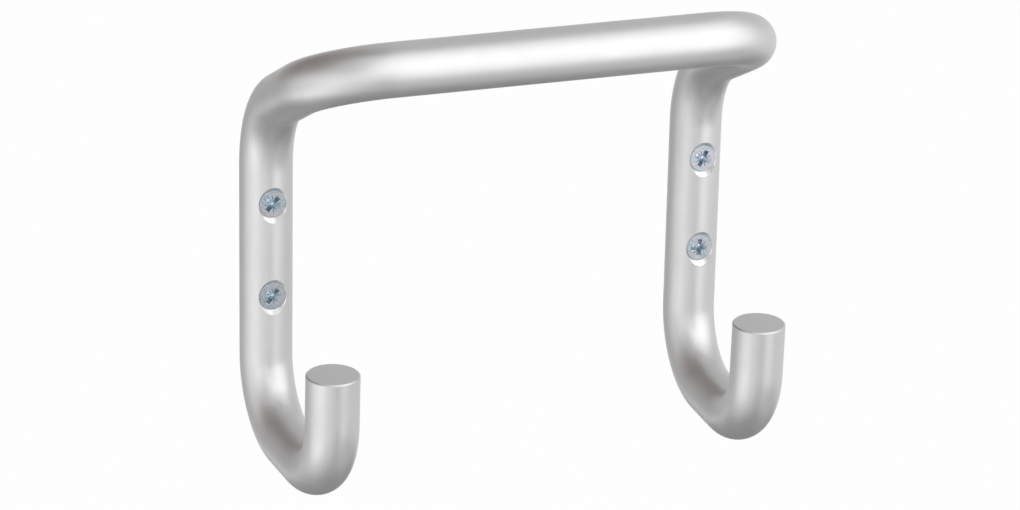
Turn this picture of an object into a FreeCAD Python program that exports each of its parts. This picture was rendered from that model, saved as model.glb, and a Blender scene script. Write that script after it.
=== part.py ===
"""Double coat hook with a hat rail, bent from one round aluminium bar and fixed with four screws.

Frame, in millimetres: the wall is the plane y = 0, and the hook stands out of it towards -Y.
X runs along the wall and Z is up. The origin is the middle of the four screws, on the wall.

The bar runs from one upturned hook up a leg that lies on the wall, forwards over a shoulder,
round a corner into the rail, and the same way down on the other side. The +X half is modelled
and mirrored. Each leg has two countersunk holes, with a wood screw in each.
"""

import FreeCAD, Part
import math
import os
import Sketcher
from FreeCAD import Placement, Rotation, Vector

SIZES = [
    ("bar_diameter", 12.0, "round bar"),
    ("leg_spacing", 104.0, "from the middle of one leg to the middle of the other"),
    ("leg_length", 45.0, "straight stretch of a leg, on the wall"),
    ("hook_radius", 16.0, "both bends of a hook, to the middle of the bar"),
    ("hook_floor", 11.5, "straight stretch between the two bends of a hook"),
    ("hook_tip", 12.0, "straight stretch at the free end of a hook"),
    ("hook_first_turn", 90.0, "degrees, from the leg to the hook's floor"),
    ("hook_second_turn", 88.5, "degrees, from the floor to the upturned tip"),
    ("hook_toe_in", 2.1, "degrees that each hook is turned towards the other"),
    ("tip_edge", 0.3, "broken edge round the cut end"),
    ("shoulder_radius", 22.0, "bend at the top of a leg, to the middle of the bar"),
    ("shoulder_turn", 63.5, "degrees that the shoulder leans forwards"),
    ("shoulder_length", 15.0, "straight stretch of the shoulder"),
    ("corner_radius", 16.0, "bend from the shoulder into the rail, to the middle of the bar"),
    ("hole_spacing", 22.0, "between the two holes of a leg"),
    ("lower_hole_height", 15.5, "from the start of the hook's bend up to the lower hole"),
    ("hole_diameter", 4.0, "clearance hole for a screw"),
    ("head_sink", 0.9, "from the front of the bar down to the top of a screw's head"),
    ("head_diameter", 6.3, "screw head"),
    ("head_land", 0.15, "height of the upright edge round a screw's head"),
    ("head_angle", 90.0, "degrees, full angle of the countersunk head"),
    ("screw_diameter", 3.5, "outside of the screw's thread"),
    ("neck_diameter", 2.6, "plain neck of the screw, inside the bar"),
    ("screw_length", 20.0, "from the top of the head to the point"),
    ("screw_point", 5.0, "length of the tapered point"),
    ("recess_width", 4.1, "cross recess at the top, across two wings"),
    ("recess_floor_width", 1.9, "cross recess at its floor"),
    ("recess_wing", 1.05, "thickness of a wing at the top"),
    ("recess_floor_wing", 0.7, "thickness of a wing at the recess's floor"),
    ("recess_depth", 1.9, "depth of the cross recess"),
    ("upper_left_turn", 42.0, "degrees that the cross of the upper left screw is turned"),
    ("lower_left_turn", 38.0, "degrees that the cross of the lower left screw is turned"),
    ("upper_right_turn", 28.0, "degrees that the cross of the upper right screw is turned"),
    ("lower_right_turn", 4.0, "degrees that the cross of the lower right screw is turned"),
]
ALIASES = {alias for alias, _, _ in SIZES}

LEG_X = "leg_spacing / 2"
LEG_Y = "0 - bar_diameter / 2"
LEG_Z = "0 - hole_spacing / 2 - lower_hole_height"
SHOULDER_Y = (
    f"{LEG_Y} - shoulder_radius * ( 1 - cos( shoulder_turn * 1 deg ) )"
    " - shoulder_length * sin( shoulder_turn * 1 deg )"
)
SHOULDER_Z = (
    f"{LEG_Z} + leg_length + shoulder_radius * sin( shoulder_turn * 1 deg )"
    " + shoulder_length * cos( shoulder_turn * 1 deg )"
)
RAIL_Y = f"{SHOULDER_Y} - corner_radius * sin( shoulder_turn * 1 deg )"
RAIL_Z = f"{SHOULDER_Z} + corner_radius * cos( shoulder_turn * 1 deg )"

doc = FreeCAD.newDocument("coat_hook")


def make_sheet():
    """Writes the driving sizes into a spreadsheet, each cell with an alias."""
    sheet = doc.addObject("Spreadsheet::Sheet", "sizes")
    for row, (alias, value, meaning) in enumerate(SIZES, start=1):
        sheet.set(f"A{row}", meaning)
        sheet.set(f"B{row}", str(value))
        sheet.setAlias(f"B{row}", alias)
    doc.recompute()


def size(formula):
    """The value of a formula over the sheet's aliases, as a plain number."""
    value = doc.getObject("sizes").evalExpression(formula)
    return float(getattr(value, "Value", value))


def bind(target, prop, formula):
    """Ties a property of an object to a formula over the sheet's aliases."""
    words = formula.replace("(", "( ").replace(")", " )").split()
    text = " ".join(f"sizes.{word}" if word in ALIASES else word for word in words)
    target.setExpression(prop, text)


def new_sketch(body, name, role, base=("0", "0", "0"), axis=None, turn="0"):
    """A sketch on an origin plane of its body, moved and turned in that plane's directions."""
    sketch = body.newObject("Sketcher::SketchObject", name)
    plane = next(f for f in body.Origin.OriginFeatures if f.Role == role)
    sketch.AttachmentSupport = [(plane, "")]
    sketch.MapMode = "FlatFace"
    if axis is not None:
        sketch.AttachmentOffset = Placement(Vector(), Rotation(axis, size(turn)))
        bind(sketch, "AttachmentOffset.Rotation.Angle", turn)
    for letter, formula in zip("xyz", base):
        bind(sketch, f"AttachmentOffset.Base.{letter}", formula)
    return sketch


def dimension(sketch, formula, *constraint):
    """Adds a dimension to a sketch and ties it to the sheet."""
    index = sketch.addConstraint(Sketcher.Constraint(*constraint))
    bind(sketch, f"Constraints[{index}]", formula)


def draw_circle(sketch, diameter, height="0"):
    """A circle on the sketch's vertical axis, its diameter and height tied to the sheet."""
    centre = Vector(0, size(height), 0)
    circle = sketch.addGeometry(Part.Circle(centre, Vector(0, 0, 1), size(diameter) / 2))
    dimension(sketch, diameter, "Diameter", circle, size(diameter))
    if height == "0":
        sketch.addConstraint(Sketcher.Constraint("Coincident", circle, 3, -1, 1))
    else:
        sketch.addConstraint(Sketcher.Constraint("PointOnObject", circle, 3, -2))
        dimension(sketch, height, "DistanceY", -1, 1, circle, 3, size(height))


def draw_run(sketch, start, heading, length):
    """A straight run, its length tied to the sheet. Returns its index, end and heading."""
    end = start + heading * size(length)
    line = sketch.addGeometry(Part.LineSegment(start, end))
    dimension(sketch, length, "Distance", line, size(length))
    return line, end, heading, 1


def draw_bend(sketch, start, heading, radius, turn, side):
    """A bend to the left (side 1) or right (side -1), its radius and turn tied to the sheet.

    Returns its index, its end, the heading there, and the vertex that its start is."""
    r = size(radius)
    centre = start + Vector(-heading.y, heading.x, 0) * (r * side)
    first = math.atan2(start.y - centre.y, start.x - centre.x)
    last = first + side * math.radians(size(turn))
    circle = Part.Circle(centre, Vector(0, 0, 1), r)
    arc = sketch.addGeometry(Part.ArcOfCircle(circle, min(first, last), max(first, last)))
    dimension(sketch, radius, "Radius", arc, r)
    dimension(sketch, f"{turn} * 1 deg", "Angle", arc, math.radians(size(turn)))
    end = centre + Vector(math.cos(last), math.sin(last), 0) * r
    turned = Rotation(Vector(0, 0, 1), side * size(turn)).multVec(heading)
    return arc, end, turned, (1 if side > 0 else 2)


def draw_path(sketch, start, heading, pieces):
    """The bar's middle line in one plane: straight runs and bends, each tangent to the last.

    A piece is ("run", length) or ("bend", radius, turn, side)."""
    point = start
    previous = None
    for kind, *rest in pieces:
        draw = draw_run if kind == "run" else draw_bend
        index, point, heading, vertex = draw(sketch, point, heading, *rest)
        if previous is not None:
            sketch.addConstraint(Sketcher.Constraint("Tangent", *previous, index, vertex))
        previous = (index, 3 - vertex)


def sweep(body, name, section, path):
    """Carries a section along a path as a part of the body."""
    feature = body.newObject("PartDesign::AdditivePipe", name)
    feature.Profile = section
    feature.Spine = (path, [])


def add_leg(body):
    """The leg on the wall, the bend at its top and the straight shoulder."""
    section = new_sketch(body, "leg_section", "XY_Plane", (LEG_X, LEG_Y, LEG_Z))
    draw_circle(section, "bar_diameter")
    path = new_sketch(body, "leg_path", "YZ_Plane", (LEG_Y, LEG_Z, LEG_X))
    pieces = [
        ("run", "leg_length"),
        ("bend", "shoulder_radius", "shoulder_turn", 1),
        ("run", "shoulder_length"),
    ]
    draw_path(path, Vector(), Vector(0, 1, 0), pieces)
    path.addConstraint(Sketcher.Constraint("Coincident", 0, 1, -1, 1))
    path.addConstraint(Sketcher.Constraint("Vertical", 0))
    sweep(body, "leg", section, path)


def add_hook(body):
    """The hook below the leg: forwards, along its floor and up to the cut end."""
    section = new_sketch(body, "hook_section", "XY_Plane", (LEG_X, LEG_Y, LEG_Z))
    draw_circle(section, "bar_diameter")
    axis = Vector(0, -1, 0)
    base = (LEG_Y, LEG_Z, LEG_X)
    path = new_sketch(body, "hook_path", "YZ_Plane", base, axis, "hook_toe_in")
    pieces = [
        ("bend", "hook_radius", "hook_first_turn", -1),
        ("run", "hook_floor"),
        ("bend", "hook_radius", "hook_second_turn", -1),
        ("run", "hook_tip"),
    ]
    draw_path(path, Vector(), Vector(0, -1, 0), pieces)
    path.addConstraint(Sketcher.Constraint("Coincident", 0, 2, -1, 1))
    path.addConstraint(Sketcher.Constraint("PointOnObject", 0, 3, -1))
    sweep(body, "hook", section, path)


def add_rail_half(body):
    """Half of the rail, with the corner that takes it into the shoulder."""
    section = new_sketch(body, "rail_section", "YZ_Plane", (RAIL_Y, RAIL_Z, "0"))
    draw_circle(section, "bar_diameter")
    base = ("0", SHOULDER_Y, SHOULDER_Z)
    turn = "90 + shoulder_turn"
    path = new_sketch(body, "rail_path", "XY_Plane", base, Vector(1, 0, 0), turn)
    pieces = [
        ("bend", "corner_radius", "90", 1),
        ("run", "leg_spacing / 2 - corner_radius"),
    ]
    draw_path(path, Vector(size(LEG_X), 0, 0), Vector(0, 1, 0), pieces)
    path.addConstraint(Sketcher.Constraint("PointOnObject", 0, 1, -1))
    path.addConstraint(Sketcher.Constraint("PointOnObject", 0, 3, -1))
    path.addConstraint(Sketcher.Constraint("PointOnObject", 1, 2, -2))
    sweep(body, "rail_half", section, path)


def break_tip_edge(body):
    """Breaks the sharp edge round the cut end of the hook."""
    ends = []
    for number, edge in enumerate(body.Shape.Edges, start=1):
        closed = isinstance(edge.Curve, Part.Circle) and len(edge.Vertexes) == 1
        if closed and edge.CenterOfMass.z < size(LEG_Z) + size("hook_radius"):
            if edge.CenterOfMass.y < size(LEG_Y) - size("hook_radius"):
                ends.append((edge.CenterOfMass.z, f"Edge{number}"))
    carrier = body.Tip
    chamfer = body.newObject("PartDesign::Chamfer", "tip_edge_break")
    chamfer.Base = (carrier, [max(ends)[1]])
    bind(chamfer, "Size", "tip_edge")


def drill_holes(body):
    """Two countersunk holes through the leg, from its front."""
    front = new_sketch(body, "hole_centres", "XZ_Plane", (LEG_X, "0", "bar_diameter"))
    draw_circle(front, "hole_diameter", "hole_spacing / 2")
    draw_circle(front, "hole_diameter", "0 - hole_spacing / 2")
    doc.recompute()
    holes = body.newObject("PartDesign::Hole", "screw_holes")
    holes.Profile = front
    doc.recompute()
    holes.Threaded = False
    holes.DepthType = "ThroughAll"
    holes.HoleCutType = "Countersink"
    holes.HoleCutCustomValues = True
    bind(holes, "Diameter", "hole_diameter")
    bind(holes, "HoleCutDiameter", "head_diameter + 2 * ( head_sink + head_land )")
    bind(holes, "HoleCutCountersinkAngle", "head_angle")


def make_bar():
    """The bent bar: one half, its cut end and its holes, and the mirror image of them."""
    body = doc.addObject("PartDesign::Body", "bent_bar")
    body.Label = "bent_bar"
    add_leg(body)
    add_hook(body)
    add_rail_half(body)
    doc.recompute()
    break_tip_edge(body)
    doc.recompute()
    plain = body.Shape.Volume
    drill_holes(body)
    doc.recompute()
    print("volume taken by the holes", round(plain - body.Shape.Volume, 2))
    whole = body.newObject("PartDesign::Mirrored", "other_half")
    whole.TransformMode = "Whole shape"
    plane = next(f for f in body.Origin.OriginFeatures if f.Role == "YZ_Plane")
    whole.MirrorPlane = (plane, [""])
    body.Tip = whole
    doc.recompute()
    return body


def draw_polygon(sketch, corners):
    """A closed outline through corners, each given as two formulas tied to the sheet."""
    points = [Vector(size(u), size(v), 0) for u, v in corners]
    count = len(points)
    for i in range(count):
        sketch.addGeometry(Part.LineSegment(points[i], points[(i + 1) % count]))
    for i in range(count):
        after = (i + 1) % count
        sketch.addConstraint(Sketcher.Constraint("Coincident", i, 2, after, 1))
        for axis, kind, value in zip("xy", ("DistanceX", "DistanceY"), corners[i]):
            if value == "0":
                line = -2 if axis == "x" else -1
                sketch.addConstraint(Sketcher.Constraint("PointOnObject", i, 1, line))
            else:
                dimension(sketch, value, kind, -1, 1, i, 1, size(value))


def draw_cross(sketch, width, wing):
    """A cross as a twelve-sided outline, across its wings and one wing's thickness."""
    far = f"( {width} ) / 2"
    near = f"( {wing} ) / 2"
    quarter = [(far, near), (near, near), (near, far)]
    corners = list(quarter)
    corners += [(f"0 - {u}", v) for u, v in reversed(quarter)]
    corners += [(f"0 - {u}", f"0 - {v}") for u, v in quarter]
    corners += [(u, f"0 - {v}") for u, v in reversed(quarter)]
    draw_polygon(sketch, corners)


def make_screw(name, side, level, turn):
    """A countersunk wood screw with a cross recess, its point along the body's Z.

    Its neck is plain as far as the wall. The thread, from there on, is drawn as its outside."""
    body = doc.addObject("PartDesign::Body", name)
    body.Label = name
    profile = new_sketch(body, f"{name}_profile", "XZ_Plane")
    cone = "( head_diameter - neck_diameter ) / 2 / tan( head_angle / 2 * 1 deg )"
    wall = "bar_diameter - head_sink"
    corners = [
        ("0", "0"),
        ("head_diameter / 2", "0"),
        ("head_diameter / 2", "head_land"),
        ("neck_diameter / 2", f"head_land + {cone}"),
        ("neck_diameter / 2", wall),
        ("screw_diameter / 2", wall),
        ("screw_diameter / 2", "screw_length - screw_point"),
        ("0", "screw_length"),
    ]
    draw_polygon(profile, corners)
    turned = body.newObject("PartDesign::Revolution", f"{name}_turned")
    turned.Profile = profile
    turned.ReferenceAxis = (profile, ["V_Axis"])
    turned.Angle = 360
    doc.recompute()
    plain = body.Shape.Volume
    axis = Vector(0, 0, 1)
    mouth = new_sketch(body, f"{name}_mouth", "XY_Plane", ("0", "0", "0"), axis, turn)
    draw_cross(mouth, "recess_width", "recess_wing")
    base = ("0", "0", "recess_depth")
    floor = new_sketch(body, f"{name}_floor", "XY_Plane", base, axis, turn)
    draw_cross(floor, "recess_floor_width", "recess_floor_wing")
    recess = body.newObject("PartDesign::SubtractiveLoft", f"{name}_recess")
    recess.Profile = mouth
    recess.Sections = [floor]
    recess.Ruled = True
    doc.recompute()
    print(name, "volume taken by the recess", round(plain - body.Shape.Volume, 3))
    body.Placement = Placement(Vector(), Rotation(Vector(1, 0, 0), -90))
    bind(body, "Placement.Base.x", f"{side} * leg_spacing / 2")
    bind(body, "Placement.Base.y", "head_sink - bar_diameter")
    bind(body, "Placement.Base.z", f"{level} * hole_spacing / 2")
    return body


def make_screws():
    """The four screws as one group of separate solids."""
    screws = [
        make_screw("upper_left_screw", -1, 1, "upper_left_turn"),
        make_screw("lower_left_screw", -1, -1, "lower_left_turn"),
        make_screw("upper_right_screw", 1, 1, "upper_right_turn"),
        make_screw("lower_right_screw", 1, -1, "lower_right_turn"),
    ]
    group = doc.addObject("Part::Compound", "fixing_screws")
    group.Label = "fixing_screws"
    group.Links = screws
    doc.recompute()
    return group


def check_and_write(nodes):
    """Stops if any object failed or any shape is unsound, and else writes the STEP files."""
    for item in doc.Objects:
        failed = [word for word in item.State if word in ("Invalid", "Error")]
        if failed:
            raise RuntimeError(f"{item.Name} is {failed}")
    for node, solids in nodes:
        shape = node.Shape
        if shape.isNull() or not shape.isValid() or len(shape.Solids) != solids:
            raise RuntimeError(f"{node.Label} has an unsound shape")
        box = shape.optimalBoundingBox(False, False)
        corners = [box.XMin, box.XMax, box.YMin, box.YMax, box.ZMin, box.ZMax]
        print(node.Label, "volume", round(shape.Volume, 2), [round(c, 3) for c in corners])
    os.makedirs("parts", exist_ok=True)
    for node, _ in nodes:
        node.Shape.exportStep(f"parts/{node.Label}.step")


def bar_volume():
    """The section times the length of the bar's middle line, without holes or broken edges."""
    bends = "hook_radius * ( hook_first_turn + hook_second_turn ) + corner_radius * 90"
    straight = "leg_length + hook_floor + hook_tip + shoulder_length + leg_spacing / 2"
    length = math.radians(size(bends) + size("shoulder_radius * shoulder_turn"))
    length += size(straight) - size("corner_radius")
    return 2 * length * math.pi * size("bar_diameter") ** 2 / 4


make_sheet()
bar = make_bar()
print("bar as section times length", round(bar_volume(), 2))
screws = make_screws()
check_and_write([(bar, 1), (screws, 4)])
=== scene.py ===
"""The looks of a double coat hook: a satin aluminium bar, bent to shape, and its four zinc screws.

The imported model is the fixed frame. The bar and the screws are modelled again here, at the same
sizes, with a finer mesh: the bar is drawn out of its section, bend by bend, and drilled, and each
screw gets its thread and its cross recess. Everything is in metres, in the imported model's frame:
the wall is the plane y = 0, the hook stands out of it towards -Y, and Z is up.
"""

import logging
import math
from dataclasses import dataclass, field
from enum import Enum

import bmesh
import bpy
from mathutils import Matrix, Vector


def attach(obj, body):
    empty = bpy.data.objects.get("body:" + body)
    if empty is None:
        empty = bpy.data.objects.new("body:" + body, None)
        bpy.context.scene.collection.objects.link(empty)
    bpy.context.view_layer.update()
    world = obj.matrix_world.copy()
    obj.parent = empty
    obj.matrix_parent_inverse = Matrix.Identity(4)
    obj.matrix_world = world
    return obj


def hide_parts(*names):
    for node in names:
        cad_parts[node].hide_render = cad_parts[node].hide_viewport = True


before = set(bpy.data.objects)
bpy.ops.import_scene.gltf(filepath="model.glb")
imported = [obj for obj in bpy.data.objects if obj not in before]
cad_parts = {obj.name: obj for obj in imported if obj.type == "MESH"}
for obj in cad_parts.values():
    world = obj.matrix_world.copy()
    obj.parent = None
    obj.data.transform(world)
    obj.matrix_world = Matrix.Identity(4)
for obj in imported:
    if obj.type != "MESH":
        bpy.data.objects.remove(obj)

log = logging.getLogger("coat_hook")

MM = 0.001
BODY = "root"
PHOTO_WIDTH_PX = 1020
SENSOR_WIDTH_MM = 36.0
MERGE_DISTANCE = 1e-7
WHITE = (1.0, 1.0, 1.0, 1.0)
# How far inside both its edges the middle of a quarter round lies, as a share of its radius.
ROUND_MIDWAY = 0.3

Colour = tuple[float, float, float]


class Side(Enum):
    """The two legs of the hook, by the sign of their X."""

    LEFT = -1
    RIGHT = 1


class Level(Enum):
    """The two screws of a leg, by the sign of their Z."""

    UPPER = 1
    LOWER = -1


class Axis(Enum):
    """The world axes, as vectors."""

    RIGHT = Vector((1.0, 0.0, 0.0))
    BACK = Vector((0.0, 1.0, 0.0))
    UP = Vector((0.0, 0.0, 1.0))


class Join(Enum):
    """What a tool does to the piece that it meets."""

    CUT = "DIFFERENCE"
    ADD = "UNION"


def deselect_all() -> None:
    """Leaves nothing selected, because an operator acts on all that is."""
    if bpy.context.mode != "OBJECT":
        bpy.ops.object.mode_set(mode="OBJECT")
    bpy.ops.object.select_all(action="DESELECT")


def take_up(piece: bpy.types.Object) -> None:
    """Makes a piece the only one selected, and the active one.

    Args:
        piece: the object that the next operators work on.
    """
    deselect_all()
    piece.select_set(True)
    bpy.context.view_layer.objects.active = piece


def ring(vertices: int, radius: float, centre: Vector, facing: Vector, filled: bool) -> bpy.types.Object:
    """Adds a circle, goes into edit mode and selects all of it.

    Args:
        vertices: how many corners the circle has.
        radius: its radius in metres.
        centre: its middle.
        facing: the direction that it faces.
        filled: True for a disc, False for an open ring.

    Returns:
        The new object, in edit mode with its edges selected.
    """
    deselect_all()
    bpy.ops.mesh.primitive_circle_add(
        vertices=vertices,
        radius=radius,
        fill_type="NGON" if filled else "NOTHING",
        location=centre,
        rotation=facing.to_track_quat("Z", "Y").to_euler(),
    )
    piece = bpy.context.object
    bpy.ops.object.transform_apply(location=True, rotation=True, scale=True)
    bpy.ops.object.mode_set(mode="EDIT")
    bpy.ops.mesh.select_mode(type="VERT")
    bpy.ops.mesh.select_all(action="SELECT")
    return piece


def draw_out(move: Vector, scale: float = 1.0, centre: Vector | None = None) -> None:
    """Extrudes what is selected, and widens or narrows the new ring.

    Args:
        move: how far and in which direction the new ring goes.
        scale: the new ring's size over the old one's.
        centre: the middle of the new ring, which it is scaled about.
    """
    bpy.ops.mesh.extrude_region_move(TRANSFORM_OT_translate={"value": tuple(move)})
    if centre is not None and not math.isclose(scale, 1.0):
        bpy.ops.transform.resize(value=(scale, scale, scale), center_override=tuple(centre))


def turn_profile(
    profile: list[tuple[float, float]], start: Vector, along: Vector, vertices: int
) -> bpy.types.Object:
    """Draws a closed round solid ring by ring, as a lathe does.

    Args:
        profile: (distance along the axis, radius) of each ring, from the first cap to the last.
        start: the point of the axis that the distances are from.
        along: the direction of the axis.
        vertices: how many corners each ring has.

    Returns:
        The solid, in object mode.
    """
    first_distance, first_radius = profile[0]
    piece = ring(vertices, first_radius, start + along * first_distance, along, True)
    for (d0, r0), (d1, r1) in zip(profile, profile[1:]):
        draw_out(along * (d1 - d0), r1 / r0, start + along * d1)
    point_outwards(piece)
    return piece


def point_outwards(piece: bpy.types.Object) -> None:
    """Merges a closed mesh's doubled vertices and turns all its faces outwards.

    Args:
        piece: the object, which is left in object mode.
    """
    take_up(piece)
    bpy.ops.object.mode_set(mode="EDIT")
    bpy.ops.mesh.select_all(action="SELECT")
    bpy.ops.mesh.remove_doubles(threshold=MERGE_DISTANCE)
    bpy.ops.mesh.normals_make_consistent(inside=False)
    bpy.ops.object.mode_set(mode="OBJECT")


def combine(piece: bpy.types.Object, tool: bpy.types.Object, join: Join, slot: int = 0) -> None:
    """Cuts a tool out of a piece, or adds it to the piece, and removes the tool.

    Args:
        piece: the solid that stays, which has its materials already.
        tool: the solid that is cut out of it or added to it.
        join: whether the tool is cut out or added.
        slot: the piece's material slot that the new faces get.
    """
    tool.data.materials.clear()
    for finish in piece.data.materials:
        tool.data.materials.append(finish)
    for face in tool.data.polygons:
        face.material_index = slot
    take_up(piece)
    modifier = piece.modifiers.new("combine", "BOOLEAN")
    modifier.operation = join.value
    modifier.solver = "EXACT"
    modifier.object = tool
    bpy.ops.object.modifier_apply(modifier=modifier.name)
    bpy.data.objects.remove(tool, do_unlink=True)


def smooth_round(piece: bpy.types.Object, degrees: float) -> None:
    """Shades a piece smooth, except over edges sharper than an angle.

    Args:
        piece: the object.
        degrees: the angle between two faces from which their edge stays sharp.
    """
    take_up(piece)
    bpy.ops.object.shade_smooth_by_angle(angle=math.radians(degrees))


class MetalDraft:
    """A bare metal's material, on which patterns on Object coordinates are laid one by one."""

    # A noise pattern keeps mostly between these two values.
    noise_low: float = 0.3
    noise_high: float = 0.7

    def __init__(self, name: str) -> None:
        """Starts the material as a plain metal.

        Args:
            name: the material's name.
        """
        self.material = bpy.data.materials.new(name)
        self.material.use_nodes = True
        self.nodes = self.material.node_tree.nodes
        self.links = self.material.node_tree.links
        self.shader = self.nodes["Principled BSDF"]
        self.shader.inputs["Metallic"].default_value = 1.0
        self.place = self.nodes.new("ShaderNodeTexCoord").outputs["Object"]

    def noise(self, size_mm: float, detail: float) -> bpy.types.NodeSocket:
        """Adds a noise pattern.

        Args:
            size_mm: about how large its blotches are.
            detail: how many finer layers it has.

        Returns:
            The socket with the pattern's height.
        """
        pattern = self.nodes.new("ShaderNodeTexNoise")
        pattern.inputs["Scale"].default_value = 1.0 / (size_mm * MM)
        pattern.inputs["Detail"].default_value = detail
        self.links.new(self.place, pattern.inputs["Vector"])
        return pattern.outputs["Fac"]

    def vary_roughness(self, pattern: bpy.types.NodeSocket, middle: float, unevenness: float) -> None:
        """Lets the roughness wander with a pattern.

        Args:
            pattern: the pattern's height.
            middle: the middle of the roughness.
            unevenness: how far it wanders either way.
        """
        spread = self.nodes.new("ShaderNodeMapRange")
        spread.inputs["From Min"].default_value = self.noise_low
        spread.inputs["From Max"].default_value = self.noise_high
        spread.inputs["To Min"].default_value = middle - unevenness
        spread.inputs["To Max"].default_value = middle + unevenness
        self.links.new(pattern, spread.inputs["Value"])
        self.links.new(spread.outputs["Result"], self.shader.inputs["Roughness"])

    def vary_colour(self, pattern: bpy.types.NodeSocket, stops: list[tuple[float, Colour]]) -> None:
        """Lets the colour change with a pattern.

        Args:
            pattern: the pattern's height.
            stops: the heights and their colours, from the lowest up.
        """
        tint = self.nodes.new("ShaderNodeValToRGB")
        elements = tint.color_ramp.elements
        for element, (height, colour) in ((elements[0], stops[0]), (elements[1], stops[-1])):
            element.position = height
            element.color = (*colour, 1.0)
        for height, colour in stops[1:-1]:
            elements.new(height).color = (*colour, 1.0)
        self.links.new(pattern, tint.inputs["Fac"])
        self.links.new(tint.outputs["Color"], self.shader.inputs["Base Color"])

    def roughen(self, pattern: bpy.types.NodeSocket, strength: float, depth_mm: float) -> None:
        """Raises a pattern on the surface.

        Args:
            pattern: the pattern's height.
            strength: how much of the relief shows.
            depth_mm: how deep it is.
        """
        bump = self.nodes.new("ShaderNodeBump")
        bump.inputs["Strength"].default_value = strength
        bump.inputs["Distance"].default_value = depth_mm * MM
        self.links.new(pattern, bump.inputs["Height"])
        self.links.new(bump.outputs["Normal"], self.shader.inputs["Normal"])


@dataclass(frozen=True)
class SatinAluminium:
    """Clear anodised aluminium: a fine matte grain, with a little unevenness from the anodising.

    Args:
        name: the finish's name.
        colour: the metal's own colour.
        dull: how much of the colour is left where the anodising is cloudier.
        cloud_mm: the size of the cloudier patches.
        cloud_edge: how far the clouds' edges lie from the middle of their pattern.
        roughness: the middle of its roughness.
        unevenness: how far the roughness wanders either way.
        mottle_mm: the size of the patches over which it wanders.
        grain_mm: the size of the etched grain.
        grain_depth_mm: how deep the grain is.
        grain_strength: how much of the grain shows.
    """

    name: str = "satin_aluminium"
    colour: Colour = (0.583, 0.581, 0.582)
    dull: float = 0.975
    cloud_mm: float = 1000.0 / 45.0
    cloud_edge: float = 0.15
    roughness: float = 0.47
    unevenness: float = 0.035
    mottle_mm: float = 6.25
    grain_mm: float = 0.24
    grain_depth_mm: float = 0.014
    grain_strength: float = 0.6

    def material(self) -> bpy.types.Material:
        """Builds the material on Object coordinates.

        Returns:
            The material.
        """
        draft = MetalDraft(self.name)
        draft.vary_roughness(draft.noise(self.mottle_mm, detail=3.0), self.roughness, self.unevenness)
        duller = tuple(c * self.dull for c in self.colour)
        stops = [(0.5 - self.cloud_edge, duller), (0.5 + self.cloud_edge, self.colour)]
        draft.vary_colour(draft.noise(self.cloud_mm, detail=2.0), stops)
        draft.roughen(draft.noise(self.grain_mm, detail=2.0), self.grain_strength, self.grain_depth_mm)
        return draft.material


@dataclass(frozen=True)
class BrightZinc:
    """Bright zinc plating on a screw, with the thin film that turns it teal here and lilac there.

    Args:
        name: the finish's name.
        colour: the plating's own colour.
        teal: its colour where the film is thicker.
        lilac: its colour where the film is thinner.
        film_edge: how far teal and lilac lie from the middle of the film's pattern.
        roughness: the middle of its roughness.
        unevenness: how far the roughness wanders either way.
        patch_mm: the size of the film's patches.
        pit_mm: the size of the pits in the plating.
        pit_depth_mm: how deep they are.
        pit_strength: how much of them shows.
    """

    name: str = "bright_zinc"
    colour: Colour = (0.335, 0.355, 0.385)
    teal: Colour = (0.27, 0.33, 0.36)
    lilac: Colour = (0.375, 0.37, 0.40)
    film_edge: float = 0.14
    roughness: float = 0.28
    unevenness: float = 0.08
    patch_mm: float = 2.4
    pit_mm: float = 0.6
    pit_depth_mm: float = 0.06
    pit_strength: float = 0.5

    def material(self) -> bpy.types.Material:
        """Builds the material on Object coordinates.

        Returns:
            The material.
        """
        draft = MetalDraft(self.name)
        film = draft.noise(self.patch_mm, detail=2.0)
        stops = [(0.5 - self.film_edge, self.teal), (0.5, self.colour), (0.5 + self.film_edge, self.lilac)]
        draft.vary_colour(film, stops)
        draft.vary_roughness(film, self.roughness, self.unevenness)
        draft.roughen(draft.noise(self.pit_mm, detail=2.0), self.pit_strength, self.pit_depth_mm)
        return draft.material


@dataclass(frozen=True)
class HolePattern:
    """The places of the four screw holes, which the bar and the screws share.

    Args:
        leg_spacing: between the middles of the legs.
        hole_spacing: between a leg's two holes.
    """

    leg_spacing: float = 104.0 * MM
    hole_spacing: float = 22.0 * MM

    def point(self, side: Side, level: Level, out: float) -> Vector:
        """Gives a point on the axis of a hole.

        Args:
            side: the leg.
            level: which of the leg's two holes it is.
            out: how far the point is in front of the wall.

        Returns:
            The point.
        """
        return Vector((side.value * self.leg_spacing / 2, -out, level.value * self.hole_spacing / 2))


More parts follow.
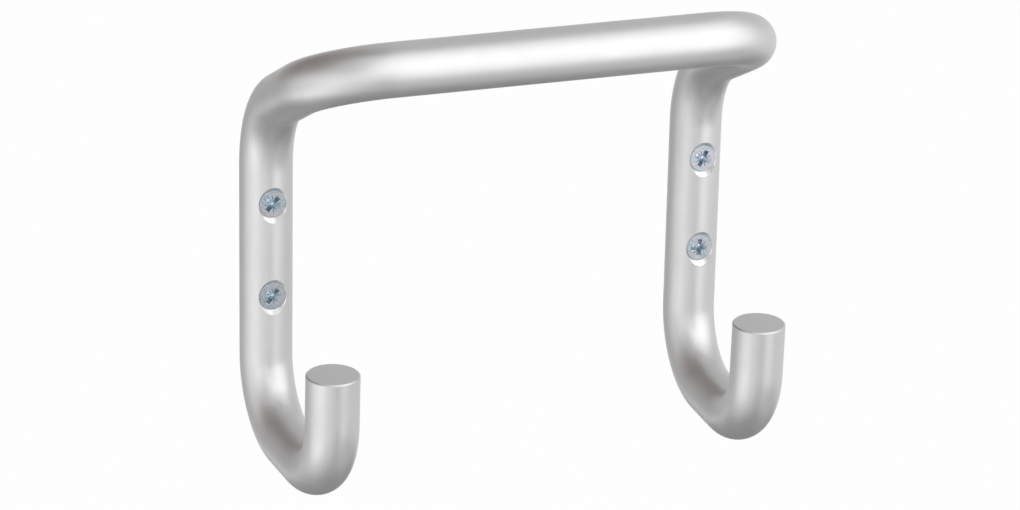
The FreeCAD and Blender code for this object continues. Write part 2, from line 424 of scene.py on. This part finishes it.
@dataclass
class BarBender:
    """Draws a bar out of its section along runs and bends, as a bending machine feeds it.

    Args:
        position: the middle of the section that is drawn out next.
        heading: the direction that the bar runs in there.
        spacing: about how far apart the rings of the mesh are.
        fewest_rings: the least number of rings in a bend.
    """

    position: Vector
    heading: Vector
    spacing: float
    fewest_rings: int = 8

    def run(self, length: float) -> None:
        """Draws a straight stretch.

        Args:
            length: how long it is.
        """
        rings = max(1, round(length / self.spacing))
        for _ in range(rings):
            draw_out(self.heading * (length / rings))
        self.position = self.position + self.heading * length

    def bend(self, radius: float, degrees: float, axis: Vector) -> None:
        """Draws a bend about an axis, to the middle of the bar.

        Args:
            radius: the bend's radius to the middle of the bar.
            degrees: how far the bar turns.
            axis: the direction that the bar turns about, by the right-hand rule.
        """
        centre = self.position + axis.cross(self.heading) * radius
        angle = math.radians(degrees)
        rings = max(self.fewest_rings, round(radius * angle / self.spacing))
        # With no window, spin turns the other way round.
        bpy.ops.mesh.spin(steps=rings, angle=-angle, center=centre, axis=axis)
        turned = Matrix.Rotation(angle, 3, axis)
        self.position = centre + turned @ (self.position - centre)
        self.heading = turned @ self.heading


@dataclass
class BentBar:
    """The round bar: rail, corners, shoulders, legs on the wall and upturned hooks.

    The +X half is drawn from the middle of the rail to the cut end and mirrored, and the whole bar
    is drilled. Bends are measured to the middle of the bar, and turns in degrees.

    Args:
        diameter: the bar's diameter.
        holes: the places of the screw holes, and so of the legs.
        leg_length: the straight part of a leg, on the wall.
        hook_radius: a hook's two bends.
        hook_floor: the straight part between them.
        hook_tip: the straight part after them, to the cut end.
        hook_first_turn: the turn of a hook's first bend.
        hook_second_turn: the turn of its second bend.
        hook_toe_in: how far the hooks turn towards each other.
        tip_edge: the broken edge of a cut end.
        shoulder_radius: the bend between a leg and its shoulder.
        shoulder_turn: how far the shoulder leans out from the wall.
        shoulder_length: the straight part of a shoulder.
        corner_radius: the bend between a shoulder and the rail.
        lower_hole_height: the lower hole's middle above a leg's lower end.
        hole_diameter: a hole behind its countersink.
        sink_diameter: a countersink's width at the front of the bar.
        drill_run_out: how far the drill's shape goes past the bar.
        vertices: the corners of the bar's section.
        spacing: about how far apart the rings of the mesh are.
        seam: how near the two halves' vertices merge.
        smooth_angle: the angle from which an edge stays sharp.
        finish: the bar's finish.
        drilled_finish: the finish of the bare metal in the holes.
    """

    diameter: float = 12.0 * MM
    holes: HolePattern = field(default_factory=HolePattern)
    leg_length: float = 45.0 * MM
    hook_radius: float = 16.0 * MM
    hook_floor: float = 11.5 * MM
    hook_tip: float = 12.0 * MM
    hook_first_turn: float = 90.0
    hook_second_turn: float = 88.5
    hook_toe_in: float = 2.1
    tip_edge: float = 0.3 * MM
    shoulder_radius: float = 22.0 * MM
    shoulder_turn: float = 63.5
    shoulder_length: float = 15.0 * MM
    corner_radius: float = 16.0 * MM
    lower_hole_height: float = 15.5 * MM
    hole_diameter: float = 4.0 * MM
    sink_diameter: float = 8.4 * MM
    drill_run_out: float = 1.0 * MM
    vertices: int = 96
    spacing: float = 1.0 * MM
    seam: float = 1e-6
    smooth_angle: float = 30.0
    finish: SatinAluminium = field(default_factory=SatinAluminium)
    drilled_finish: SatinAluminium = field(
        default_factory=lambda: SatinAluminium(
            name="drilled_aluminium",
            colour=(0.78, 0.78, 0.785),
            roughness=0.30,
            grain_depth_mm=0.005,
        )
    )

    def rail_middle(self) -> Vector:
        """Works out where the middle of the rail is, from the legs up.

        Returns:
            The middle of the bar's section there.
        """
        lean = math.radians(self.shoulder_turn)
        reach = self.shoulder_length + self.corner_radius
        forward = self.diameter / 2 + self.shoulder_radius * (1 - math.cos(lean)) + reach * math.sin(lean)
        leg_top = self.leg_length - self.holes.hole_spacing / 2 - self.lower_hole_height
        height = leg_top + self.shoulder_radius * math.sin(lean) + reach * math.cos(lean)
        return Vector((0.0, -forward, height))

    def draw_half(self) -> bpy.types.Object:
        """Draws the +X half, from the middle of the rail to the cut end.

        Returns:
            The half, open at the middle of the rail.
        """
        right, back, up = Axis.RIGHT.value, Axis.BACK.value, Axis.UP.value
        start = self.rail_middle()
        half = ring(self.vertices, self.diameter / 2, start, right, False)
        bender = BarBender(start, right.copy(), self.spacing)
        lean = math.radians(self.shoulder_turn)
        bender.run(self.holes.leg_spacing / 2 - self.corner_radius)
        bender.bend(self.corner_radius, 90.0, back * math.cos(lean) + up * math.sin(lean))
        bender.run(self.shoulder_length)
        bender.bend(self.shoulder_radius, self.shoulder_turn, -right)
        bender.run(self.leg_length)
        toe = math.radians(self.hook_toe_in)
        across = -right * math.cos(toe) + back * math.sin(toe)
        bender.bend(self.hook_radius, self.hook_first_turn, across)
        bender.run(self.hook_floor)
        bender.bend(self.hook_radius, self.hook_second_turn, across)
        bender.run(self.hook_tip - self.tip_edge)
        radius = self.diameter / 2
        end = bender.position + bender.heading * self.tip_edge
        draw_out(bender.heading * self.tip_edge, (radius - self.tip_edge) / radius, end)
        bpy.ops.mesh.edge_face_add()
        bpy.ops.object.mode_set(mode="OBJECT")
        return half

    def add_other_half(self, half: bpy.types.Object) -> None:
        """Mirrors the +X half at the middle of the rail, which closes the bar.

        Args:
            half: the half, which becomes the whole bar.
        """
        take_up(half)
        mirror = half.modifiers.new("other_half", "MIRROR")
        mirror.use_axis = (True, False, False)
        mirror.use_mirror_merge = True
        mirror.merge_threshold = self.seam
        bpy.ops.object.modifier_apply(modifier=mirror.name)
        point_outwards(half)

    def drill(self, bar: bpy.types.Object, side: Side, level: Level) -> None:
        """Drills and countersinks one hole from the front of a leg.

        Args:
            bar: the bar that is drilled.
            side: the leg.
            level: which of the leg's two holes it is.
        """
        over, sink, hole = self.drill_run_out, self.sink_diameter / 2, self.hole_diameter / 2
        profile = [(-over, sink + over), (sink - hole, hole), (self.diameter + over, hole)]
        front = self.holes.point(side, level, self.diameter)
        combine(bar, turn_profile(profile, front, Axis.BACK.value, self.vertices), Join.CUT, slot=1)

    def build(self) -> bpy.types.Object:
        """Makes the whole bar and dresses it.

        Returns:
            The bar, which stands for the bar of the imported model.
        """
        bar = self.draw_half()
        self.add_other_half(bar)
        bar.data.materials.append(self.finish.material())
        bar.data.materials.append(self.drilled_finish.material())
        for side in Side:
            for level in Level:
                self.drill(bar, side, level)
        point_outwards(bar)
        smooth_round(bar, self.smooth_angle)
        bar.name = "satin_bar"
        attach(bar, BODY)
        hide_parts("bent_bar")
        return bar


@dataclass
class FixingScrew:
    """A countersunk wood screw with a cross recess.

    It is modelled with its head's top at the origin and its point along +Y, then copied to its
    holes. The lengths along the axis are from the top of the head.

    Args:
        head_diameter: the head's width.
        head_land: the straight edge of the head, above its cone.
        head_round: the rounding of the head's upper edge.
        neck_diameter: the plain neck between the head and the thread.
        neck_end: one step of the neck's end, which is hidden in the thread's core.
        neck_end_share: the radius of that end, as a share of the core's diameter.
        thread_diameter: the thread's crest.
        core_diameter: the thread's core.
        pitch: from one turn of the thread to the next.
        thread_rise: where the thread's flank starts and ends its way up, as shares of the pitch.
        thread_fall: where it starts and ends its way down.
        thread_steps: the corners in a turn of the thread.
        lead_in_turns: how many turns start before the wall, to be cut off.
        spare_turns: how many turns are wound too many, to be cut off.
        length: the whole screw.
        point: the tapered part of the thread.
        point_taper: how much of the radius is gone at the tip.
        wall_depth: where the wall and the thread start.
        recess_width: across two wings of the cross, at the top.
        recess_floor_width: the same at its floor.
        recess_wing: the width of a wing, at the top.
        recess_floor_wing: the same at its floor.
        recess_depth: how deep the recess is.
        recess_core: the width of the recess's round middle.
        core_taper: the middle's radius above the head, halfway down, at the floor and below it, as
            shares of half its width.
        core_vertices: the corners of the middle.
        recess_edge: the broken edge of the recess.
        rib_width: the width of the fine ticks between the wings.
        rib_depth: their depth.
        rib_reach: how far the ticks reach, as a share of the wings' width.
        cutter_run_out: how far the recess's cutters stand out of the head.
        vertices: the corners of the head and the neck.
        smooth_angle: the angle from which an edge stays sharp.
        holes: the places of the screws.
        turns: the turn of each screw's cross, in degrees.
        finish: the plating.
        recess_painted_light_finish: the plating in the recess, with painted light: brighter and bluer than
            on the head, standing in for the light that bounces about in the recess.
    """

    head_diameter: float = 6.3 * MM
    head_land: float = 0.15 * MM
    head_round: float = 0.12 * MM
    neck_diameter: float = 2.6 * MM
    neck_end: float = 0.3 * MM
    neck_end_share: float = 0.4
    thread_diameter: float = 3.5 * MM
    core_diameter: float = 2.3 * MM
    pitch: float = 1.6 * MM
    thread_rise: tuple[float, float] = (0.44, 0.66)
    thread_fall: tuple[float, float] = (0.74, 0.96)
    thread_steps: int = 40
    lead_in_turns: float = 1.5
    spare_turns: int = 2
    length: float = 20.0 * MM
    point: float = 5.0 * MM
    point_taper: float = 0.97
    wall_depth: float = 11.1 * MM
    recess_width: float = 4.1 * MM
    recess_floor_width: float = 1.9 * MM
    recess_wing: float = 1.05 * MM
    recess_floor_wing: float = 0.7 * MM
    recess_depth: float = 1.9 * MM
    recess_core: float = 1.9 * MM
    core_taper: tuple[float, float, float, float] = (1.08, 0.8, 0.55, 0.05)
    core_vertices: int = 32
    recess_edge: float = 0.06 * MM
    rib_width: float = 0.22 * MM
    rib_depth: float = 0.22 * MM
    rib_reach: float = 0.92
    cutter_run_out: float = 0.4 * MM
    vertices: int = 64
    smooth_angle: float = 15.0
    holes: HolePattern = field(default_factory=HolePattern)
    turns: dict[tuple[Side, Level], float] = field(
        default_factory=lambda: {
            (Side.LEFT, Level.UPPER): 42.0,
            (Side.LEFT, Level.LOWER): 38.0,
            (Side.RIGHT, Level.UPPER): 28.0,
            (Side.RIGHT, Level.LOWER): 4.0,
        }
    )
    finish: BrightZinc = field(default_factory=BrightZinc)
    # The recess's plating is painted brighter and bluer than the head's. This is painted light, standing
    # in for the light that bounces about in the recess.
    recess_painted_light_finish: BrightZinc = field(
        default_factory=lambda: BrightZinc(
            name="recess_zinc_painted_light",
            colour=(0.57, 0.65, 0.69),
            teal=(0.47, 0.60, 0.64),
            lilac=(0.62, 0.65, 0.73),
            roughness=0.36,
            patch_mm=1.2,
        )
    )

    def head_and_neck(self) -> bpy.types.Object:
        """Turns the head and the plain neck, a little past the start of the thread.

        Returns:
            The head and the neck, as one closed solid.
        """
        head, neck = self.head_diameter / 2, self.neck_diameter / 2
        midway = ROUND_MIDWAY * self.head_round
        end = self.core_diameter * self.neck_end_share
        profile = [
            (0.0, head - self.head_round),
            (midway, head - midway),
            (self.head_round, head),
            (self.head_land, head),
            (self.head_land + head - neck, neck),
            (self.wall_depth, neck),
            (self.wall_depth + self.neck_end, end),
            (self.wall_depth + self.neck_end * 2, end),
        ]
        return turn_profile(profile, Vector(), Axis.BACK.value, self.vertices)

    def wind_thread(self) -> bpy.types.Object:
        """Winds the thread round its core, with more turns than the screw needs.

        Returns:
            The open coil, whose ends are still to be cut.
        """
        core, crest = self.core_diameter / 2, self.thread_diameter / 2
        (rise_start, rise_end), (fall_start, fall_end) = self.thread_rise, self.thread_fall
        flank = [
            (0.0, core), (rise_start, core), (rise_end, crest),
            (fall_start, crest), (fall_end, core), (1.0, core),
        ]
        deselect_all()
        mesh = bpy.data.meshes.new("thread")
        corners = [(radius, share * self.pitch, 0.0) for share, radius in flank]
        mesh.from_pydata(corners, [(i, i + 1) for i in range(len(corners) - 1)], [])
        shank = bpy.data.objects.new("thread", mesh)
        bpy.context.scene.collection.objects.link(shank)
        take_up(shank)
        turns = math.ceil((self.length - self.wall_depth) / self.pitch) + self.spare_turns
        winding = shank.modifiers.new("winding", "SCREW")
        winding.axis = "Y"
        winding.screw_offset = self.pitch
        winding.iterations = turns
        winding.steps = self.thread_steps
        winding.render_steps = self.thread_steps
        winding.use_merge_vertices = True
        winding.merge_threshold = MERGE_DISTANCE
        bpy.ops.object.modifier_apply(modifier=winding.name)
        return shank

    def threaded_shank(self) -> bpy.types.Object:
        """Cuts the wound thread to length, closes its ends and draws the last of it to a point.

        Returns:
            The threaded part, as one closed solid.
        """
        shank = self.wind_thread()
        bpy.ops.object.mode_set(mode="EDIT")
        bpy.ops.mesh.select_all(action="SELECT")
        first = self.wall_depth - self.lead_in_turns * self.pitch
        bpy.ops.transform.translate(value=(0.0, first, 0.0))
        for cut, outer in ((self.wall_depth, False), (self.length, True)):
            bpy.ops.mesh.select_all(action="SELECT")
            bpy.ops.mesh.bisect(
                plane_co=(0.0, cut, 0.0),
                plane_no=Axis.BACK.value,
                use_fill=True,
                threshold=MERGE_DISTANCE,
                clear_inner=not outer,
                clear_outer=outer,
            )
        bpy.ops.object.mode_set(mode="OBJECT")
        for vertex in shank.data.vertices:
            past = (vertex.co.y - (self.length - self.point)) / self.point
            narrow = 1.0 - self.point_taper * max(0.0, past)
            vertex.co.x *= narrow
            vertex.co.z *= narrow
        point_outwards(shank)
        return shank

    def wing_cutter(self, degrees: float) -> bpy.types.Object:
        """Makes the tapered bar that cuts two opposite wings of the recess.

        Args:
            degrees: how far the bar is turned about the screw's axis.

        Returns:
            The cutter.
        """
        back, over = Axis.BACK.value, self.cutter_run_out
        slope_width = (self.recess_width - self.recess_floor_width) / self.recess_depth
        slope_wing = (self.recess_wing - self.recess_floor_wing) / self.recess_depth
        width = self.recess_width + slope_width * over
        wing = self.recess_wing + slope_wing * over
        deselect_all()
        upright = (math.pi / 2, 0.0, 0.0)
        bpy.ops.mesh.primitive_plane_add(size=1.0, location=(0.0, -over, 0.0), rotation=upright)
        cutter = bpy.context.object
        cutter.scale = (width, wing, 1.0)
        bpy.ops.object.transform_apply(location=True, rotation=True, scale=True)
        bpy.ops.object.mode_set(mode="EDIT")
        bpy.ops.mesh.select_all(action="SELECT")
        draw_out(back * (self.recess_depth + over))
        bpy.ops.transform.resize(
            value=(self.recess_floor_width / width, 1.0, self.recess_floor_wing / wing),
            center_override=(0.0, self.recess_depth, 0.0),
        )
        bpy.ops.object.mode_set(mode="OBJECT")
        cutter.data.transform(Matrix.Rotation(math.radians(degrees), 4, back))
        point_outwards(cutter)
        return cutter

    def core_cutter(self) -> bpy.types.Object:
        """Turns the round middle of the recess, which ends in a blunt cone.

        Returns:
            The cutter.
        """
        over, depth = self.cutter_run_out, self.recess_depth
        distances = (-over, depth / 2, depth, depth + over)
        profile = [(d, share * self.recess_core / 2) for d, share in zip(distances, self.core_taper)]
        return turn_profile(profile, Vector(), Axis.BACK.value, self.core_vertices)

    def rib_cutter(self, degrees: float) -> bpy.types.Object:
        """Makes the thin bar that cuts two fine ticks between the wings.

        Args:
            degrees: how far the bar is turned about the screw's axis.

        Returns:
            The cutter, whose middle is level with the top of the head.
        """
        deselect_all()
        bpy.ops.mesh.primitive_cube_add(size=1.0, location=(0.0, 0.0, 0.0))
        cutter = bpy.context.object
        cutter.scale = (self.recess_width * self.rib_reach, self.rib_depth * 2, self.rib_width)
        bpy.ops.object.transform_apply(location=True, rotation=True, scale=True)
        cutter.data.transform(Matrix.Rotation(math.radians(degrees), 4, Axis.BACK.value))
        return cutter

    def ease_recess(self, screw: bpy.types.Object) -> None:
        """Breaks the recess's edge where it meets the top of the head.

        Args:
            screw: the screw, with its recess cut and nothing else in the top of its head.
        """
        level, reach, sharp = 1e-6, self.recess_width * 0.6, math.radians(30.0)
        take_up(screw)
        bpy.ops.object.mode_set(mode="EDIT")
        bpy.ops.mesh.select_mode(type="EDGE")
        bpy.ops.mesh.select_all(action="DESELECT")
        shape = bmesh.from_edit_mesh(screw.data)
        for edge in shape.edges:
            on_top = all(abs(v.co.y) < level and v.co.length < reach for v in edge.verts)
            edge.select_set(on_top and edge.calc_face_angle(0.0) > sharp)
        bmesh.update_edit_mesh(screw.data)
        bpy.ops.mesh.bevel(offset=self.recess_edge, segments=2)
        bpy.ops.object.mode_set(mode="OBJECT")

    def model(self) -> bpy.types.Object:
        """Makes one screw, still at the origin.

        Returns:
            The screw, with both its finishes.
        """
        screw = self.head_and_neck()
        screw.data.materials.append(self.finish.material())
        screw.data.materials.append(self.recess_painted_light_finish.material())
        combine(screw, self.threaded_shank(), Join.ADD)
        # The recess's faces take the second finish, which has the painted light.
        for degrees in (0.0, 90.0):
            combine(screw, self.wing_cutter(degrees), Join.CUT, slot=1)
        combine(screw, self.core_cutter(), Join.CUT, slot=1)
        self.ease_recess(screw)
        for degrees in (45.0, 135.0):
            combine(screw, self.rib_cutter(degrees), Join.CUT)
        point_outwards(screw)
        smooth_round(screw, self.smooth_angle)
        return screw

    def build(self) -> list[bpy.types.Object]:
        """Models one screw and sets a copy of it in each hole.

        Returns:
            The four screws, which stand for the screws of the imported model.
        """
        pattern = self.model()
        screws = []
        for (side, level), degrees in self.turns.items():
            screw = pattern.copy()
            screw.data = pattern.data.copy()
            bpy.context.scene.collection.objects.link(screw)
            seat = Matrix.Translation(self.holes.point(side, level, self.wall_depth))
            turn = Matrix.Rotation(math.radians(degrees), 4, Axis.BACK.value)
            screw.data.transform(seat @ turn)
            screw.name = f"{level.name.lower()}_{side.name.lower()}_screw"
            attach(screw, BODY)
            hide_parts("fixing_screws")
            screws.append(screw)
        bpy.data.objects.remove(pattern, do_unlink=True)
        return screws


def direction(azimuth: float, elevation: float) -> Vector:
    """Gives the unit vector towards a place round the hook.

    Args:
        azimuth: degrees from straight in front of the hook, positive towards +X.
        elevation: degrees above the level.

    Returns:
        The direction, seen from the hook.
    """
    turn, rise = math.radians(azimuth), math.radians(elevation)
    level = math.cos(rise)
    return Vector((math.sin(turn) * level, -math.cos(turn) * level, math.sin(rise)))


def seen_ray(nodes: bpy.types.Nodes, links: bpy.types.NodeLinks) -> bpy.types.NodeSocket:
    """Adds nodes that give 1 on a ray that shows a thing, and 0 on one that only lights by it.

    Args:
        nodes: the nodes of a material or a world.
        links: its links.

    Returns:
        The socket that is 1 for camera, glossy and transmission rays.
    """
    path = nodes.new("ShaderNodeLightPath")
    seen = path.outputs["Is Camera Ray"]
    for kind in ("Is Glossy Ray", "Is Transmission Ray"):
        either = nodes.new("ShaderNodeMath")
        either.operation = "MAXIMUM"
        links.new(seen, either.inputs[0])
        links.new(path.outputs[kind], either.inputs[1])
        seen = either.outputs["Value"]
    return seen


@dataclass(frozen=True)
class Board:
    """A curved grey board that hangs round the hook and darkens what the metal reflects.

    Args:
        name: the board's name.
        azimuths: its two sides, in degrees from straight in front, positive towards +X.
        elevations: its lower and upper edge, in degrees above the level.
        tone: how bright it is beside the white room.
        distance: how far it is from the hook, in metres.
        segments: how many faces the sphere that it is cut from has round its waist.
        rings: how many it has from pole to pole.
    """

    name: str
    azimuths: tuple[float, float]
    elevations: tuple[float, float]
    tone: Colour
    distance: float
    segments: int = 72
    rings: int = 36

    def covers(self, place: Vector) -> bool:
        """Says whether a place is in the board's directions.

        Args:
            place: a point, seen from the hook.

        Returns:
            True where the board hangs.
        """
        azimuth = math.degrees(math.atan2(place.x, -place.y))
        elevation = math.degrees(math.asin(place.normalized().z))
        beyond = (azimuth - self.azimuths[0]) % 360.0
        inside = beyond < self.azimuths[1] - self.azimuths[0]
        return inside and self.elevations[0] < elevation < self.elevations[1]

    def glow(self) -> bpy.types.Material:
        """Builds the board's even tone.

        Returns:
            The material.
        """
        made = bpy.data.materials.new(self.name)
        made.use_nodes = True
        made.cycles.emission_sampling = "NONE"
        nodes, links = made.node_tree.nodes, made.node_tree.links
        nodes.remove(nodes["Principled BSDF"])
        glow = nodes.new("ShaderNodeEmission")
        glow.inputs["Color"].default_value = (*self.tone, 1.0)
        links.new(glow.outputs["Emission"], nodes["Material Output"].inputs["Surface"])
        return made

    def build(self) -> bpy.types.Object:
        """Cuts the board out of a sphere round the hook.

        Returns:
            The board, which only reflections show.
        """
        deselect_all()
        bpy.ops.mesh.primitive_uv_sphere_add(
            segments=self.segments, ring_count=self.rings, radius=self.distance
        )
        board = bpy.context.object
        board.name = self.name
        bpy.ops.object.mode_set(mode="EDIT")
        bpy.ops.mesh.select_mode(type="FACE")
        bpy.ops.mesh.select_all(action="DESELECT")
        bpy.ops.object.mode_set(mode="OBJECT")
        for face in board.data.polygons:
            face.select = not self.covers(face.center)
        bpy.ops.object.mode_set(mode="EDIT")
        bpy.ops.mesh.delete(type="FACE")
        bpy.ops.object.mode_set(mode="OBJECT")
        board.data.materials.append(self.glow())
        board.visible_camera = False
        board.visible_diffuse = False
        return board


@dataclass(frozen=True)
class Softbox:
    """A large soft lamp that faces the hook.

    Args:
        name: the lamp's name.
        azimuth: its middle, in degrees from straight in front, positive towards +X.
        elevation: its middle, in degrees above the level.
        spread: its width and height as seen from the hook, in degrees.
        tone: how bright its front is beside the white room.
        distance: how far it is from the hook, in metres.
    """

    name: str
    azimuth: float
    elevation: float
    spread: tuple[float, float]
    tone: float
    distance: float = 0.95

    def build(self) -> bpy.types.Object:
        """Hangs the lamp, with the power that gives its front its tone.

        Returns:
            The lamp.
        """
        data = bpy.data.lights.new(self.name, "AREA")
        data.shape = "RECTANGLE"
        width, height = (2 * self.distance * math.tan(math.radians(s / 2)) for s in self.spread)
        data.size = width
        data.size_y = height
        data.energy = self.tone * math.pi * width * height
        lamp = bpy.data.objects.new(self.name, data)
        bpy.context.scene.collection.objects.link(lamp)
        lamp.location = direction(self.azimuth, self.elevation) * self.distance
        lamp.rotation_euler = (-lamp.location).to_track_quat("-Z", "Y").to_euler()
        return lamp


@dataclass
class Studio:
    """A white room with a pale floor, four softboxes and nine grey boards, and the camera.

    The camera looks down at the hook from its left. The boards nearer the hook hide those behind.

    Args:
        azimuth: the camera's direction, in degrees from straight in front.
        elevation: the same, in degrees above the level.
        roll: how far the camera is tilted, in degrees.
        distance: from the camera to what it looks at, in metres.
        target: the point that it looks at.
        focal_px: the camera's focal length in pixels of the photograph.
        view_depth: the nearest and farthest that the camera sees, in metres.
        floor_height: the floor's height, in metres.
        floor_size: how wide the floor is, in metres.
        floor_colour: the floor's colour where light falls on it.
        floor_roughness: its roughness.
        floor_shows: how much of it shows as plain white; the rest takes the shadow.
        room_light: how much light comes from the room, where plain white is 1.
        softboxes: the lamps.
        boards: the grey boards.
    """

    azimuth: float = -20.879
    elevation: float = 20.828
    roll: float = 1.281
    distance: float = 949.36 * MM
    target: Vector = field(default_factory=lambda: Vector((6.76, -6.0, -9.57)) * MM)
    focal_px: float = 4121.17
    view_depth: tuple[float, float] = (0.05, 40.0)
    floor_height: float = -1.5
    floor_size: float = 16.0
    floor_colour: Colour = (0.92, 0.92, 0.92)
    floor_roughness: float = 0.9
    floor_shows: float = 0.97
    room_light: float = 0.65
    softboxes: tuple[Softbox, ...] = (
        Softbox("key_softbox", 43.0, 65.0, (64.0, 17.0), 1.047),
        Softbox("level_softbox", 25.0, 16.0, (91.0, 71.0), 1.425),
        Softbox("left_softbox", -78.0, 3.0, (78.0, 45.0), 0.681),
        Softbox("low_left_softbox", -84.0, -35.0, (48.0, 15.0), 1.559),
    )
    boards: tuple[Board, ...] = (
        Board("front_flag", (-8.0, 8.0), (-59.0, 9.0), (0.294, 0.294, 0.294), 0.90),
        Board("low_board", (-180.0, 180.0), (-90.0, -61.0), (0.322, 0.322, 0.322), 1.45),
        Board("low_back_board", (84.0, 265.0), (-69.0, -33.0), (0.294, 0.294, 0.294), 1.50),
        Board("warm_board", (-180.0, -90.0), (11.0, 88.0), (0.312, 0.275, 0.255), 1.70),
        Board("right_board", (36.0, 68.0), (-48.0, 28.0), (0.387, 0.387, 0.387), 1.75),
        Board("back_left_board", (-172.0, -68.0), (-25.0, 30.0), (0.524, 0.515, 0.516), 1.76),
        Board("top_board", (-6.0, 236.0), (64.0, 88.0), (0.304, 0.334, 0.348), 1.72),
        Board("back_right_board", (90.0, 307.0), (11.0, 56.0), (0.765, 0.765, 0.765), 1.80),
        Board("front_left_board", (-196.0, 35.0), (12.0, 55.0), (0.604, 0.604, 0.604), 1.82),
    )

    def camera(self) -> bpy.types.Object:
        """Sets the camera where the photograph was taken from.

        Returns:
            The camera.
        """
        back = direction(self.azimuth, self.elevation)
        right = (-back).cross(Axis.UP.value).normalized()
        up = right.cross(-back)
        tilt = math.radians(self.roll)
        across = right * math.cos(tilt) + up * math.sin(tilt)
        upright = up * math.cos(tilt) - right * math.sin(tilt)
        data = bpy.data.cameras.new("camera")
        data.sensor_width = SENSOR_WIDTH_MM
        data.lens = self.focal_px * SENSOR_WIDTH_MM / PHOTO_WIDTH_PX
        data.clip_start, data.clip_end = self.view_depth
        camera = bpy.data.objects.new("camera", data)
        bpy.context.scene.collection.objects.link(camera)
        turned = Matrix((across, upright, back)).transposed().to_4x4()
        camera.matrix_world = Matrix.Translation(self.target + back * self.distance) @ turned
        bpy.context.scene.camera = camera
        return camera

    def room(self) -> None:
        """Makes the room white where it shows, and a soft light elsewhere."""
        world = bpy.data.worlds.new("white_room")
        bpy.context.scene.world = world
        world.use_nodes = True
        world.cycles.sampling_method = "NONE"
        nodes, links = world.node_tree.nodes, world.node_tree.links
        nodes.clear()
        mix = nodes.new("ShaderNodeMixShader")
        links.new(seen_ray(nodes, links), mix.inputs["Fac"])
        for socket, strength in ((1, self.room_light), (2, 1.0)):
            light = nodes.new("ShaderNodeBackground")
            light.inputs["Color"].default_value = WHITE
            light.inputs["Strength"].default_value = strength
            links.new(light.outputs["Background"], mix.inputs[socket])
        out = nodes.new("ShaderNodeOutputWorld")
        links.new(mix.outputs["Shader"], out.inputs["Surface"])

    def floor(self) -> None:
        """Lays the pale floor, which shows nearly white and takes the hook's shadow."""
        deselect_all()
        bpy.ops.mesh.primitive_plane_add(size=self.floor_size, location=(0.0, 0.0, self.floor_height))
        floor = bpy.context.object
        floor.name = "floor"
        made = bpy.data.materials.new("pale_floor")
        made.use_nodes = True
        made.cycles.emission_sampling = "NONE"
        nodes, links = made.node_tree.nodes, made.node_tree.links
        shader = nodes["Principled BSDF"]
        shader.inputs["Base Color"].default_value = (*self.floor_colour, 1.0)
        shader.inputs["Roughness"].default_value = self.floor_roughness
        glow = nodes.new("ShaderNodeEmission")
        glow.inputs["Color"].default_value = WHITE
        share = nodes.new("ShaderNodeMath")
        share.operation = "MULTIPLY"
        share.inputs[1].default_value = self.floor_shows
        links.new(seen_ray(nodes, links), share.inputs[0])
        mix = nodes.new("ShaderNodeMixShader")
        links.new(share.outputs["Value"], mix.inputs["Fac"])
        links.new(shader.outputs["BSDF"], mix.inputs[1])
        links.new(glow.outputs["Emission"], mix.inputs[2])
        links.new(mix.outputs["Shader"], nodes["Material Output"].inputs["Surface"])
        floor.data.materials.append(made)

    def build(self) -> None:
        """Makes the floor, the room, the lamps, the boards and the camera."""
        self.floor()
        self.room()
        for softbox in self.softboxes:
            softbox.build()
        for board in self.boards:
            board.build()
        self.camera()
        bpy.context.scene.view_settings.view_transform = "Standard"
        log.info("studio: %d softboxes, %d boards", len(self.softboxes), len(self.boards))


def corners(box: tuple[Vector, Vector]) -> list[list[float]]:
    """Turns a box into plain numbers that a file can hold.

    Args:
        box: its lowest and highest corners.

    Returns:
        The same corners, as lists.
    """
    return [[float(value) for value in corner] for corner in box]


def main() -> None:
    """Builds the bar, the screws and the studio."""
    logging.basicConfig(level=logging.INFO, format="%(name)s: %(message)s")
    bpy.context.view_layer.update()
    bar = BentBar().build()
    log.info("%s: %d faces", bar.name, len(bar.data.polygons))
    for screw in FixingScrew().build():
        log.info("%s: %d faces", screw.name, len(screw.data.polygons))
    Studio().build()


if __name__ == "__main__":
    main()
